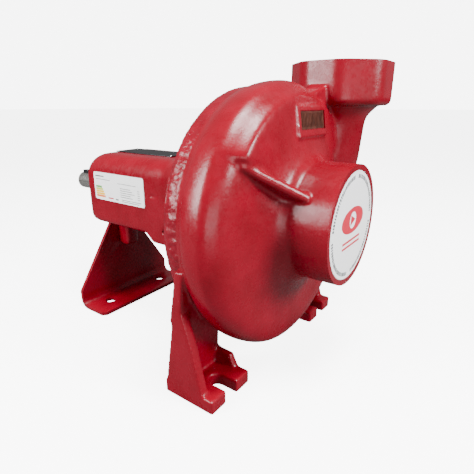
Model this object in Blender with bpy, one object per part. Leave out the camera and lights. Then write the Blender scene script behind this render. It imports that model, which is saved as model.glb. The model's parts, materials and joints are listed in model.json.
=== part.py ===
"""End-suction centrifugal pump on a cast bearing frame, with a bare shaft end.

Every size is in millimetres, in the pump's own axes: X to the right seen from the suction
side, Y backwards from the suction face along the shaft, and Z up from the shaft's centre
line. The empty "pump_axis" puts those axes in the world, where Z = 0 is the floor and Y = 0
is the bolt line of the rear foot.
"""

import math

import bmesh
import bpy
from mathutils import Matrix, Vector

MM = 0.001
GAP = 0.3  # clearance between pieces that touch

# Driving sizes
SHAFT_HEIGHT = 160.0
REAR_BOLT_LINE = 322.0  # rear foot's holes, behind the suction face
DRIVE_END = 422.0
ROUND_STEPS = 48
SMALL_STEPS = 24

# Suction nozzle
NOZZLE_R = 57.5
PORT_R = 43.5  # 3 in pipe thread
CAP_SEAT_R = 52.4
CAP_SEAT_DEPTH = 1.5
EYE_R = 40.5

# Volute
JOINT_Y = 106.0  # casing's rear face
FLANGE_R = 125.5
RIM_R = 128.5
RIM_GROWTH = 12.5
CUTWATER = 50.0  # degrees, where the spiral starts
REGISTER_R = 99.8
COVER_SEAT_R = 104.3
COVER_SEAT_Y = 97.7
CHANNEL_R = 108.0
CHANNEL_GROWTH = 22.0
PLATEAU_START = 38.0  # the raised land between the spiral's start and the front rib
PLATEAU_END = 146.5
CORE_R = 25.0  # the swept hollow stops here, where a plain bore takes over
DRAIN_ANGLE = 295.0
DRAIN_R = 7.0
DRAIN_Y = 79.0

# Discharge
BOSS_X = 101.3
BOSS_Y = 63.8
BOSS_R = 57.2
BOSS_TOP = 150.7
BOSS_BOTTOM = 107.0
DISCHARGE_R = 36.5  # 2.5 in pipe thread

# Front feet
FOOT_INNER = 70.0
FOOT_OUTER = 129.4
FOOT_FRONT = 67.8
FOOT_REAR = 127.3
PAD_THICKNESS = 13.2
SLOT_X = 99.85
SLOT_R = 8.15
SLOT_END = 94.0
FLOOR = -SHAFT_HEIGHT

# Bearing frame
FRAME_FLANGE_Y = 123.0
FRAME_HALF_WIDTH = 50.0
FRAME_TOP = 50.0
FRAME_BOTTOM = -40.0
FRAME_CORNER = 20.0
FRAME_LOW_CORNER = 8.0
FRAME_BOX_START = 190.0
FRAME_REAR = 343.0
BEARING_SEAT_R = 31.0
FLANGE_BOLT_CIRCLE = 112.0
FLANGE_BOLTS = 8
FLANGE_BOLT_R = 4.0
COVER_SCREW_CIRCLE = 36.0
COVER_SCREWS = 4
COVER_SCREW_R = 2.5
COVER_FACE_Y = 348.3
LABEL_THICKNESS = 0.5
NAMEPLATE_THICKNESS = 0.8

# Rotor
SHAFT_R = 14.0
IMPELLER_R = 94.0
IMPELLER_SEAT_R = 11.0
BEARING_BORE_R = 15.0
SHOULDER_R = 17.5
DRIVE_R = 12.0
VANES = 6
BALLS = 9
BALL_R = 4.5
BALL_CIRCLE = 23.0
BEARING_WIDTH = 16.0
FRONT_BEARING_Y = 236.0
REAR_BEARING_Y = 306.0

# Rear foot, a bent plate
PLATE = 4.7
FOOT_PLATE_Y = 340.3
FOOT_TOE_Y = 296.0
FOOT_HALF_WIDTH = 77.5
FOOT_HOLE_X = 47.0
FOOT_HOLE_R = 7.0
FOOT_BOLT_LEVELS = (-53.0, -73.0)
FOOT_BOLT_R = 4.0

# Finishes: name, colour, roughness, metallic
RED_PAINT = ("red_paint", (0.52, 0.012, 0.03), 0.32, 0.0)
DARK_PAINT = ("dark_paint", (0.10, 0.008, 0.012), 0.5, 0.0)
STEEL = ("steel", (0.62, 0.61, 0.59), 0.3, 1.0)
BLACK_STEEL = ("black_steel", (0.04, 0.04, 0.045), 0.45, 0.9)
BRONZE = ("bronze", (0.62, 0.38, 0.16), 0.35, 1.0)
RUBBER = ("rubber", (0.02, 0.02, 0.02), 0.7, 0.0)
CARBON = ("carbon", (0.05, 0.05, 0.055), 0.35, 0.2)
GASKET_FIBRE = ("gasket_fibre", (0.16, 0.17, 0.15), 0.8, 0.0)
WHITE_PLASTIC = ("white_plastic", (0.85, 0.85, 0.84), 0.4, 0.0)
CERAMIC = ("ceramic", (0.88, 0.86, 0.80), 0.25, 0.0)


def clear_scene():
    for obj in list(bpy.data.objects):
        bpy.data.objects.remove(obj, do_unlink=True)


def material(finish):
    name, colour, roughness, metallic = finish
    made = bpy.data.materials.get(name) or bpy.data.materials.new(name)
    made.use_nodes = True
    shader = made.node_tree.nodes["Principled BSDF"]
    shader.inputs["Base Color"].default_value = (*colour, 1.0)
    shader.inputs["Roughness"].default_value = roughness
    shader.inputs["Metallic"].default_value = metallic
    made.diffuse_color = (*colour, 1.0)
    return made


# ---------------------------------------------------------------- shapes, in millimetres


def vector(x, y, z):
    return Vector((x, y, z)) * MM


def turned(profile, steps=SMALL_STEPS, on_axis=False):
    """A profile of (radius, y) points turned about the pump's axis."""
    bm = bmesh.new()
    verts = [bm.verts.new(vector(r, y, 0.0)) for r, y in profile]
    edges = [bm.edges.new(pair) for pair in zip(verts, verts[1:])]
    if not on_axis:
        edges.append(bm.edges.new((verts[-1], verts[0])))
    bmesh.ops.spin(bm, geom=verts + edges, cent=(0, 0, 0), axis=(0, 1, 0), angle=math.tau,
                   steps=steps, use_merge=True)
    bmesh.ops.remove_doubles(bm, verts=bm.verts, dist=0.001 * MM)
    return bm


def loop_of(bm, points):
    verts = [bm.verts.new(point) for point in points]
    return [bm.edges.new(pair) for pair in zip(verts, verts[1:] + verts[:1])]


def lofted(sections, ring=False):
    """Skins closed sections of equal length: a ring of them, or a run with both ends capped."""
    bm = bmesh.new()
    loops = [loop_of(bm, section) for section in sections]
    if ring:
        loops.append(loops[0])
    for one, two in zip(loops, loops[1:]):
        bmesh.ops.bridge_loops(bm, edges=one + two)
    if not ring:
        for loop in (loops[0], loops[-1]):
            bmesh.ops.contextual_create(bm, geom=loop)
    return bm


def extruded(outline, offset):
    """A flat outline of points, pushed along offset to a solid."""
    bm = bmesh.new()
    face = bm.faces.new([bm.verts.new(point) for point in outline])
    pushed = bmesh.ops.extrude_face_region(bm, geom=[face])["geom"]
    moved = [item for item in pushed if isinstance(item, bmesh.types.BMVert)]
    bmesh.ops.translate(bm, verts=moved, vec=offset)
    return bm


def side_plate(outline, x_low, x_high):
    """An outline of (y, z) points, pushed from x_low to x_high."""
    return extruded([vector(x_low, y, z) for y, z in outline], vector(x_high - x_low, 0, 0))


def front_plate(outline, y_low, y_high):
    """An outline of (x, z) points, pushed from y_low to y_high."""
    return extruded([vector(x, y_low, z) for x, z in outline], vector(0, y_high - y_low, 0))


def across(side, inner, outer):
    """The x range from inner to outer, on the right where side is 1 and on the left where -1."""
    return (inner, outer) if side > 0 else (-outer, -inner)


def block(x_low, x_high, y_low, y_high, z_low, z_high):
    outline = [(x_low, z_low), (x_high, z_low), (x_high, z_high), (x_low, z_high)]
    return front_plate(outline, y_low, y_high)


def polygon(radius, sides, start=0.0):
    angles = [math.radians(start) + math.tau * k / sides for k in range(sides)]
    return [(radius * math.cos(angle), radius * math.sin(angle)) for angle in angles]


def round_bar(radius, y_low, y_high, x=0.0, z=0.0, sides=12):
    """A bar along Y."""
    outline = [(x + px, z + pz) for px, pz in polygon(radius, sides, 180.0 / sides)]
    return front_plate(outline, y_low, y_high)


def upright_bar(radius, x, y, z_low, z_high, sides=16):
    """A bar along Z."""
    outline = [vector(x + px, y + py, z_low) for px, py in polygon(radius, sides, 180.0 / sides)]
    return extruded(outline, vector(0, 0, z_high - z_low))


def ellipse(x, y, z, half_x, half_y, sides=20):
    return [vector(x + half_x * px, y + half_y * py, z) for px, py in polygon(1.0, sides)]


def rounded_box(half_width, top, bottom, top_corner, low_corner, arc_steps=3):
    """(x, z) points of a box outline with round corners."""
    points = []
    for quarter, (side, level) in enumerate(((1, top), (-1, top), (-1, bottom), (1, bottom))):
        corner = top_corner if level > 0 else low_corner
        x = side * (half_width - corner)
        z = level - corner if level > 0 else level + corner
        for k in range(arc_steps + 1):
            angle = math.radians(90 * quarter + 90 * k / arc_steps)
            points.append((x + corner * math.cos(angle), z + corner * math.sin(angle)))
    return points


# ---------------------------------------------------------------- objects


def add(name, bm, finish, parent):
    """Makes one sub-part, or a helper if it has no finish, from its mesh."""
    bmesh.ops.recalc_face_normals(bm, faces=bm.faces)
    mesh = bpy.data.meshes.new(name)
    bm.to_mesh(mesh)
    bm.free()
    mesh.shade_smooth()
    mesh.set_sharp_from_angle(angle=math.radians(35))
    obj = bpy.data.objects.new(name, mesh)
    bpy.context.scene.collection.objects.link(obj)
    obj.parent = parent
    if finish:
        mesh.materials.append(material(finish))
    return obj


def boolean(obj, bm, operation):
    """Adds a hidden helper that is joined to, or cut from, obj."""
    helper = add(f"{obj.name}_helper_{len(obj.modifiers) + 1}", bm, None, obj.parent)
    helper.hide_render = True
    helper.display_type = "WIRE"
    modifier = obj.modifiers.new(operation.title(), "BOOLEAN")
    modifier.operation = operation
    modifier.object = helper
    modifier.solver = "EXACT"
    return helper


def join(obj, bm):
    return boolean(obj, bm, "UNION")


def cut(obj, bm):
    return boolean(obj, bm, "DIFFERENCE")


def turned_about_axis(bm, degrees):
    """Turns a mesh about the pump's axis, from +X towards +Z."""
    bmesh.ops.rotate(bm, verts=bm.verts, matrix=Matrix.Rotation(-math.radians(degrees), 3, "Y"))
    return bm


# ---------------------------------------------------------------- volute casing


def growth(degrees):
    """0 at the cutwater, rising to 1 at the throat, then back to 0 under the discharge."""
    turn = degrees % 360.0
    if turn >= CUTWATER:
        return (turn - CUTWATER) / (360.0 - CUTWATER)
    return 0.5 + 0.5 * math.cos(math.pi * turn / CUTWATER)


def rim_section(degrees):
    """The casing's outer skin at one angle, as (radius, y) points from the rear face forwards."""
    rim = RIM_R + RIM_GROWTH * growth(degrees)
    if PLATEAU_START < degrees < PLATEAU_END:
        front = [(rim - 4, 67), (rim - 10, 58.5), (rim - 20, 54.5), (95, 51), (64, 46)]
    else:
        front = [(rim - 3.5, 71), (rim - 11, 64), (rim - 22, 60), (95, 56), (64, 47)]
    rear = [(30, JOINT_Y), (FLANGE_R, JOINT_Y), (FLANGE_R, JOINT_Y - 8), (rim - 1, 88), (rim, 79)]
    return rear + front + [(30, 45)]


def wet_section(degrees):
    """The hollow at one angle: port, wear ring seat, impeller chamber, channel and cover seat."""
    inner = 90.0
    depth = CHANNEL_R + CHANNEL_GROWTH * growth(degrees) - inner
    port = [(CORE_R, 0.5), (PORT_R, 0.5), (PORT_R, 34), (EYE_R, 38), (EYE_R, 50), (50, 50),
            (50, 62)]
    channel = [(0.75, 68), (0.93, 72), (1, 78.5), (0.93, 85.5), (0.75, 89.5)]
    rear = [(REGISTER_R, 89.8), (REGISTER_R, COVER_SEAT_Y), (COVER_SEAT_R, COVER_SEAT_Y),
            (COVER_SEAT_R, JOINT_Y + 1), (CORE_R, JOINT_Y + 1)]
    return port + [(inner + depth * share, y) for share, y in channel] + rear


def swept_ring(section):
    """Sweeps a section that depends on the angle once round the axis."""
    sections = []
    for k in range(ROUND_STEPS):
        degrees = 360.0 * k / ROUND_STEPS
        turn = math.radians(degrees)
        sections.append([vector(r * math.cos(turn), y, r * math.sin(turn))
                         for r, y in section(degrees)])
    return lofted(sections, ring=True)


def nozzle():
    return turned([(30, CAP_SEAT_DEPTH), (CAP_SEAT_R, CAP_SEAT_DEPTH), (CAP_SEAT_R, 0), (56, 0),
                   (NOZZLE_R, 1.5), (NOZZLE_R, 38), (59, 43), (64, 49), (64, 60), (30, 60)],
                  ROUND_STEPS)


def discharge_neck():
    levels = [(104, 79, -10, 34, 26), (104, 74, 40, 40, 33), (103, 71, 72, 38, 34),
              (102, 69, 93, 38, 35), (BOSS_X, 66, 104, 42, 40), (BOSS_X, BOSS_Y, 112, 49, 48)]
    return lofted([ellipse(x, y, z, half_x, half_y) for x, y, z, half_x, half_y in levels])


def discharge_boss():
    outline = polygon(BOSS_R, 8, 22.5)
    chamfer = 5.0
    sections = []
    for z, radius in ((BOSS_BOTTOM, BOSS_R - chamfer), (BOSS_BOTTOM + chamfer, BOSS_R),
                      (BOSS_TOP, BOSS_R)):
        share = radius / BOSS_R
        sections.append([vector(BOSS_X + x * share, BOSS_Y + y * share, z) for x, y in outline])
    return lofted(sections)


def discharge_passage():
    levels = [(112, 78.8, -5, 15, 10.3), (108, 76.5, 40, 20, 13), (103.5, 72, 78, 27, 22),
              (BOSS_X, 67, 100, 32, 30), (BOSS_X, BOSS_Y, 112, DISCHARGE_R, DISCHARGE_R),
              (BOSS_X, BOSS_Y, BOSS_TOP + 2, DISCHARGE_R, DISCHARGE_R)]
    return lofted([ellipse(x, y, z, half_x, half_y) for x, y, z, half_x, half_y in levels])


def front_rib():
    """The rounded rib from the plateau's corner down to the nozzle."""
    thickness = 9.0
    outline = [(54, 20.5), (79, 37), (113, 56.5), (121, 67), (54, 62)]
    plate = extruded([vector(r, y, -thickness / 2) for r, y in outline], vector(0, 0, thickness))
    return turned_about_axis(plate, PLATEAU_END)


def badge_frame():
    """A raised rectangle on the plateau, leaning back with the casing's face."""
    return side_plate([(45.9, 79), (51.7, 109), (60, 109), (60, 79)], -25, 43)


def badge_recess():
    return side_plate([(40, 86), (40, 103), (52.8, 103), (49.6, 86)], -16, 33)


def foot_solids(side):
    """The pieces of one cast front foot: side is 1 on the right and -1 on the left."""
    pad_top = FLOOR + PAD_THICKNESS
    rear_edge = [(FOOT_REAR, FLOOR), (114.7, -84.4), (116.4, -79), (109.8, -44)]
    outer_web = rear_edge + [(108, -28), (98, -28), (99.8, -45), (101.8, -68), (89.7, -105),
                             (80, FLOOR + 14.5), (80, FLOOR)]
    rear_web = rear_edge + [(108, -28), (98, -28), (101, -60), (105.5, -132), (105.5, FLOOR)]
    low_rib = [(110, FLOOR + 2), (110, -132), (86.9, -133.4), (80, pad_top - 1), (80, FLOOR + 2)]
    yield block(*across(side, FOOT_INNER, FOOT_OUTER), FOOT_FRONT, FOOT_REAR, FLOOR, pad_top)
    yield side_plate(rear_web, *across(side, FOOT_INNER + 1.5, FOOT_OUTER - 1))
    yield side_plate(outer_web, *across(side, FOOT_OUTER - 10, FOOT_OUTER - 0.01))
    yield side_plate(low_rib, *across(side, FOOT_INNER + 0.01, FOOT_INNER + 8))


def foot_slot(side):
    """An open-ended slot for a foundation bolt."""
    centre_y = SLOT_END - SLOT_R
    arc = [(side * SLOT_X + SLOT_R * math.cos(t), centre_y + SLOT_R * math.sin(t))
           for t in (math.pi * k / 8 for k in range(9))]
    left, right = side * SLOT_X - SLOT_R, side * SLOT_X + SLOT_R
    outline = arc + [(left, FOOT_FRONT - 2), (right, FOOT_FRONT - 2)]
    return extruded([vector(x, y, FLOOR - 1) for x, y in outline], vector(0, 0, PAD_THICKNESS + 2))


def drain_bar(radius, low, high, sides=12):
    """A bar that points away from the axis, between these radii."""
    bar = extruded([vector(low, DRAIN_Y + py, pz) for py, pz in polygon(radius, sides)],
                   vector(high - low, 0, 0))
    return turned_about_axis(bar, DRAIN_ANGLE)


def volute_casing(parent):
    casing = add("volute_casing", swept_ring(rim_section), RED_PAINT, parent)
    join(casing, nozzle())
    join(casing, discharge_neck())
    join(casing, discharge_boss())
    join(casing, front_plate([(14, 118), (52, 127), (60, 100), (20, 100)], 57, 76))
    join(casing, front_rib())
    join(casing, badge_frame())
    for side in (-1, 1):
        for piece in foot_solids(side):
            join(casing, piece)
    cut(casing, turned([(0, JOINT_Y), (126.3, JOINT_Y), (126.3, 140), (0, 140)], ROUND_STEPS,
                       on_axis=True))
    cut(casing, badge_recess())
    for side in (-1, 1):
        cut(casing, foot_slot(side))
    cut(casing, round_bar(32, 40, JOINT_Y + 2, sides=24))
    cut(casing, swept_ring(wet_section))
    cut(casing, discharge_passage())
    for x, z in polygon(FLANGE_BOLT_CIRCLE, FLANGE_BOLTS, 22.5):
        cut(casing, round_bar(FLANGE_BOLT_R + GAP, 93, JOINT_Y + 2, x, z))
    cut(casing, drain_bar(DRAIN_R + GAP, 112, 150))
    return casing


def drain_plug(parent):
    plug = add("drain_plug", drain_bar(DRAIN_R, 128, 138.5), BLACK_STEEL, parent)
    cut(plug, drain_bar(3.6, 133, 142, sides=6))


# ---------------------------------------------------------------- cover and bearing frame


def casing_cover(parent):
    add("casing_cover", turned([(30, 88), (99.5, 88), (99.5, 99), (104, 99), (104, JOINT_Y),
                                (92, JOINT_Y), (88, 99), (42, 99), (38, 112), (34, 122),
                                (17, 122), (17, 113.3), (24.3, 113.3), (24.3, 104.7),
                                (30, 104.7)]), DARK_PAINT, parent)
    add("casing_gasket", turned([(99.9, 98), (104, 98), (104, 98.7), (99.9, 98.7)]),
        GASKET_FIBRE, parent)


def frame_section(y, share, radius):
    """Between a circle of this radius, at share 0, and the bearing box's outline, at share 1."""
    box = rounded_box(FRAME_HALF_WIDTH, FRAME_TOP, FRAME_BOTTOM, FRAME_CORNER, FRAME_LOW_CORNER)
    points = []
    for k, (x, z) in enumerate(box):
        turn = math.tau * (k + 0.5) / len(box)
        round_x, round_z = radius * math.cos(turn), radius * math.sin(turn)
        points.append(vector(round_x + (x - round_x) * share, y, round_z + (z - round_z) * share))
    return points


def bearing_box():
    sections = [frame_section(118, 0, 99), frame_section(126, 0.15, 96),
                frame_section(140, 0.42, 84), frame_section(158, 0.7, 74),
                frame_section(175, 0.9, 66), frame_section(FRAME_BOX_START, 1, 60),
                frame_section(322, 1, 60)]
    for y, side, top, bottom in ((FRAME_REAR - 7, 1, 5.5, 2), (FRAME_REAR - 2, 3, 9.5, 4),
                                 (FRAME_REAR, 6, 11, 6)):
        outline = rounded_box(FRAME_HALF_WIDTH - side, FRAME_TOP - top, FRAME_BOTTOM + bottom,
                              FRAME_CORNER, FRAME_LOW_CORNER)
        sections.append([vector(x, y, z) for x, z in outline])
    return lofted(sections)


def lantern_space():
    """The open space between the casing cover and the front bearing."""
    levels = [(104, 90, 90, -90, 90), (128, 78, 78, -78, 78), (152, 56, 53, -46, 40),
              (182, 42, 38, -33, 16), (222, 40, 36, -31, 14)]
    return lofted([[vector(x, y, z)
                    for x, z in rounded_box(half_width, top, bottom, corner, corner)]
                   for y, half_width, top, bottom, corner in levels])


def bearing_frame(parent):
    flange = turned([(95, JOINT_Y + GAP), (FLANGE_R - 0.5, JOINT_Y + GAP),
                     (FLANGE_R - 0.5, FRAME_FLANGE_Y - 3), (FLANGE_R - 4, FRAME_FLANGE_Y),
                     (95, FRAME_FLANGE_Y)], ROUND_STEPS)
    frame = add("bearing_frame", flange, RED_PAINT, parent)
    join(frame, bearing_box())
    join(frame, block(-10, 10, 318, 340, -84, -36))
    arm = [(150, -36), (231, -36), (231, -40.5), (223, -48.5), (150, -48.5)]
    for side in (-1, 1):
        join(frame, side_plate(arm, *across(side, 33, 49.7)))
    cut(frame, lantern_space())
    window = [(134, 5), (184, 5), (193, -17), (206, -33.5), (134, -33.5)]
    for side in (-1, 1):
        cut(frame, side_plate(window, *across(side, 30, 110)))
    cut(frame, block(-30, 30, 145, 228, -100, -20))
    cut(frame, turned([(0, 200), (22, 200), (22, 232), (18, 232), (18, 235.7),
                       (BEARING_SEAT_R, 235.7), (BEARING_SEAT_R, 256), (34, 258), (34, 299),
                       (BEARING_SEAT_R, 301), (BEARING_SEAT_R, 350), (0, 350)], on_axis=True))
    for x, z in polygon(FLANGE_BOLT_CIRCLE, FLANGE_BOLTS, 22.5):
        cut(frame, round_bar(FLANGE_BOLT_R + GAP, 100, 130, x, z))
    for x, z in polygon(COVER_SCREW_CIRCLE, COVER_SCREWS, 45):
        cut(frame, round_bar(COVER_SCREW_R + GAP, 328, 350, x, z))
    for z in FOOT_BOLT_LEVELS:
        cut(frame, round_bar(FOOT_BOLT_R + GAP, 322, 345, 0, z))


def rear_bearing_cover(parent):
    cover = add("rear_bearing_cover", turned([
        (25.5, 322.4), (30.7, 322.4), (30.7, FRAME_REAR + GAP), (41, FRAME_REAR + GAP),
        (41, COVER_FACE_Y), (22, COVER_FACE_Y), (22, 337.7), (16.5, 337.7), (16.5, 333), (25.5, 333)]),
        RED_PAINT, parent)
    for x, z in polygon(COVER_SCREW_CIRCLE, COVER_SCREWS, 45):
        cut(cover, round_bar(COVER_SCREW_R + GAP, 340, 352, x, z))


# ---------------------------------------------------------------- rear foot and fasteners


def rear_foot(parent):
    toe_corner = 5.0
    bend_r = 13.0
    y_rear = FOOT_PLATE_Y + PLATE
    y_bend = y_rear - bend_r
    outline = [(-FOOT_HALF_WIDTH, y_bend), (-FOOT_HALF_WIDTH, FOOT_TOE_Y + toe_corner),
               (toe_corner - FOOT_HALF_WIDTH, FOOT_TOE_Y),
               (FOOT_HALF_WIDTH - toe_corner, FOOT_TOE_Y),
               (FOOT_HALF_WIDTH, FOOT_TOE_Y + toe_corner), (FOOT_HALF_WIDTH, y_bend)]
    flange = extruded([vector(x, y, FLOOR) for x, y in outline], vector(0, 0, PLATE))
    foot = add("rear_foot", flange, RED_PAINT, parent)
    upright = [(-FOOT_HALF_WIDTH, FLOOR + bend_r), (FOOT_HALF_WIDTH, FLOOR + bend_r),
               (FOOT_HALF_WIDTH, FLOOR + 24), (20.5, -51), (12, -45), (-12, -45), (-20.5, -51),
               (-FOOT_HALF_WIDTH, FLOOR + 24)]
    join(foot, front_plate(upright, FOOT_PLATE_Y, y_rear))
    angles = [math.radians(18 * k - 90) for k in range(6)]
    centre_z = FLOOR + bend_r
    bend = [(y_bend - 0.5, FLOOR)]
    bend += [(y_bend + bend_r * math.cos(a), centre_z + bend_r * math.sin(a)) for a in angles]
    bend += [(y_rear, centre_z + 0.5), (FOOT_PLATE_Y, centre_z + 0.5)]
    inner_r = bend_r - PLATE
    bend += [(y_bend + inner_r * math.cos(a), centre_z + inner_r * math.sin(a))
             for a in reversed(angles)]
    bend.append((y_bend - 0.5, FLOOR + PLATE))
    join(foot, side_plate(bend, -FOOT_HALF_WIDTH, FOOT_HALF_WIDTH))
    for x in (-FOOT_HOLE_X, FOOT_HOLE_X):
        cut(foot, upright_bar(FOOT_HOLE_R, x, REAR_BOLT_LINE, FLOOR - 2, FLOOR + 8))
    for z in FOOT_BOLT_LEVELS:
        cut(foot, round_bar(FOOT_BOLT_R + GAP, 335, 350, 0, z))


def hex_bolt(name, parent, x, z, seat_y, size, length):
    """A bolt along Y whose head sits behind seat_y and whose shank runs forwards."""
    shank, across_flats, head, finish = size
    outline = [(x + px, z + pz) for px, pz in polygon(across_flats / math.sqrt(3), 6)]
    bolt = add(name, front_plate(outline, seat_y + GAP, seat_y + GAP + head), finish, parent)
    join(bolt, round_bar(shank, seat_y - length, seat_y + GAP + 1, x, z))


def fasteners(parent):
    m8 = (FLANGE_BOLT_R, 13, 5.3, RED_PAINT)
    m5 = (COVER_SCREW_R, 8, 3.5, BLACK_STEEL)
    for number, (x, z) in enumerate(polygon(FLANGE_BOLT_CIRCLE, FLANGE_BOLTS, 22.5), 1):
        hex_bolt(f"flange_bolt_{number}", parent, x, z, FRAME_FLANGE_Y, m8, 29)
    for number, (x, z) in enumerate(polygon(COVER_SCREW_CIRCLE, COVER_SCREWS, 45), 1):
        hex_bolt(f"cover_screw_{number}", parent, x, z, COVER_FACE_Y, m5, 18)
    for number, z in enumerate(FOOT_BOLT_LEVELS, 1):
        hex_bolt(f"foot_bolt_{number}", parent, 0, z, FOOT_PLATE_Y + PLATE, m8, 21)


# ---------------------------------------------------------------- rotor


def shaft(parent):
    made = add("shaft", turned([
        (0, 60), (8, 60), (8, 68.3), (IMPELLER_SEAT_R, 68.3), (IMPELLER_SEAT_R, 87),
        (SHAFT_R, 87), (SHAFT_R, 232), (BEARING_BORE_R, 232), (BEARING_BORE_R, 252.3),
        (SHOULDER_R, 252.3), (SHOULDER_R, 305.7), (BEARING_BORE_R, 305.7),
        (BEARING_BORE_R, 322.2), (SHAFT_R, 322.2), (SHAFT_R, 324.1), (BEARING_BORE_R, 324.1),
        (BEARING_BORE_R, 327), (13.5, 328), (13.5, 352), (DRIVE_R, 353),
        (DRIVE_R, DRIVE_END - 1.5), (DRIVE_R - 1.5, DRIVE_END), (0, DRIVE_END)],
        on_axis=True), STEEL, parent)
    cut(made, block(-3.3, 3.3, 69.5, 85.5, 8.2, 20))
    cut(made, block(-4.3, 4.3, 379.7, 420.3, 8, 20))
    add("impeller_key", block(-3, 3, 70, 85, 8.5, 13.5), STEEL, parent)
    add("drive_key", block(-4, 4, 380, 420, 8.3, 15.3), BLACK_STEEL, parent)


def front_shroud_y(radius):
    """Middle of the front shroud's wall at this radius."""
    return 64.2 + (69.7 - 64.2) * (radius - 44.0) / (IMPELLER_R - 44.0)


def vane(start):
    """A backward-curved blade between the shrouds."""
    inner_r, outer_r, sweep, half_thickness, stations = 40.0, IMPELLER_R - 0.5, 105.0, 2.0, 8
    left, right = [], []
    for k in range(stations + 1):
        share = k / stations
        radius = inner_r * (outer_r / inner_r) ** share
        turn = math.radians(start - sweep * share)
        across = half_thickness / radius
        left.append((radius, turn + across * 1.6))
        right.append((radius, turn - across * 1.6))
    outline = left + right[::-1]
    front = [vector(r * math.cos(t), front_shroud_y(r), r * math.sin(t)) for r, t in outline]
    back = [vector(r * math.cos(t), 82.5, r * math.sin(t)) for r, t in outline]
    return lofted([front, back])


def impeller(parent):
    back = turned([(11.3, 68.6), (20, 68.6), (35, 74), (60, 79), (IMPELLER_R, 81),
                   (IMPELLER_R, 84.5), (23, 84.5), (23, 86.7), (11.3, 86.7)])
    made = add("impeller", back, BRONZE, parent)
    join(made, turned([(38, 51), (44.5, 51), (44.5, 62.4), (52, 64.2), (IMPELLER_R, 68.2),
                       (IMPELLER_R, 71.2), (56, 68), (38, 61)]))
    for number in range(VANES):
        join(made, vane(360.0 * number / VANES))
    cut(made, block(-3.3, 3.3, 60, 90, 8, 13.8))


def impeller_fasteners(parent):
    add("impeller_washer", turned([(8.3, 66.3), (15, 66.3), (15, 68.3), (8.3, 68.3)]),
        STEEL, parent)
    nut = add("impeller_nut", front_plate(polygon(13.5, 6), 57.5, 66), STEEL, parent)
    cut(nut, round_bar(8.3, 50, 70, sides=24))


def mechanical_seal(fixed, spinning):
    add("seal_seat", turned([(15.3, 105.2), (24, 105.2), (24, 113), (15.3, 113)]),
        CERAMIC, fixed)
    add("seal_head", turned([(14.3, 97.2), (22.5, 97.2), (22.5, 104.9), (14.3, 104.9)]),
        CARBON, spinning)
    coil_r, wire_r, turns, low, high = 18.5, 1.1, 3, 88.2, 95.8
    steps_per_turn = 14
    curve = bpy.data.curves.new("seal_spring", "CURVE")
    curve.dimensions = "3D"
    curve.bevel_depth = wire_r * MM
    curve.bevel_resolution = 1
    curve.use_fill_caps = True
    spline = curve.splines.new("POLY")
    count = turns * steps_per_turn + 1
    spline.points.add(count - 1)
    for k, point in enumerate(spline.points):
        turn = math.tau * k / steps_per_turn
        y = low + (high - low) * k / (count - 1)
        place = vector(coil_r * math.cos(turn), y, coil_r * math.sin(turn))
        point.co = (*place, 1.0)
    spring = bpy.data.objects.new("seal_spring", curve)
    bpy.context.scene.collection.objects.link(spring)
    spring.parent = spinning
    curve.materials.append(material(STEEL))


def ball_bearing(name, start, fixed, spinning, cage_parent):
    """A deep-groove bearing: two grooved rings, and the balls in their cage."""
    end, middle = start + BEARING_WIDTH, start + BEARING_WIDTH / 2
    add(f"{name}_outer_ring", turned([
        (27, start), (30.7, start), (30.7, end), (27, end), (27, middle + 3.5), (28.1, middle),
        (27, middle - 3.5)]), STEEL, fixed)
    add(f"{name}_inner_ring", turned([
        (15.3, start), (19, start), (19, middle - 3.5), (17.9, middle), (19, middle + 3.5),
        (19, end), (15.3, end)]), STEEL, spinning)
    cage = add(f"{name}_balls", turned([
        (BALL_CIRCLE - 1.2, middle - 3), (BALL_CIRCLE + 1.2, middle - 3),
        (BALL_CIRCLE + 1.2, middle + 3), (BALL_CIRCLE - 1.2, middle + 3)], 2 * BALLS), STEEL,
        cage_parent)
    for x, z in polygon(BALL_CIRCLE, BALLS):
        ball = bmesh.new()
        bmesh.ops.create_icosphere(ball, subdivisions=1, radius=BALL_R * MM,
                                   matrix=Matrix.Translation(vector(x, middle, z)))
        join(cage, ball)


def seals_and_rings(fixed, spinning):
    add("slinger", turned([(14.3, 172), (18, 172), (24, 175), (24, 177), (18, 180),
                           (14.3, 180)]), RUBBER, spinning)
    add("front_lip_seal", turned([(14.3, 224.3), (21.7, 224.3), (21.7, 231.6), (14.3, 231.6)]),
        RUBBER, fixed)
    add("rear_lip_seal", turned([(13.8, 338), (21.7, 338), (21.7, 345.3), (13.8, 345.3)]),
        RUBBER, fixed)
    add("bearing_circlip", turned([(14.3, 322.5), (18.2, 322.5), (18.2, 323.8),
                                   (14.3, 323.8)]), BLACK_STEEL, spinning)
    add("wear_ring", turned([(45.3, 50.3), (49.7, 50.3), (49.7, 61.7), (45.3, 61.7)]), BRONZE,
        fixed)


# ---------------------------------------------------------------- trim


def labels(parent):
    side = -FRAME_HALF_WIDTH - GAP
    add("side_label", block(side - LABEL_THICKNESS, side, 230, 323, -7, 28), WHITE_PLASTIC, parent)
    under = FRAME_TOP + GAP
    add("nameplate", block(-19, 19, 215, 316, under, under + NAMEPLATE_THICKNESS), BLACK_STEEL,
        parent)


def transport_cap(parent):
    """The disc that closes the suction port until the pump is piped in."""
    add("transport_cap", turned([(0, GAP), (52, GAP), (52, 1.2), (43, 1.2), (43, 9), (41, 9),
                                 (41, 1.8), (0, 1.8)], ROUND_STEPS, on_axis=True),
        WHITE_PLASTIC, parent)


def empty(name, parent=None):
    made = bpy.data.objects.new(name, None)
    bpy.context.scene.collection.objects.link(made)
    made.parent = parent
    return made


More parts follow.
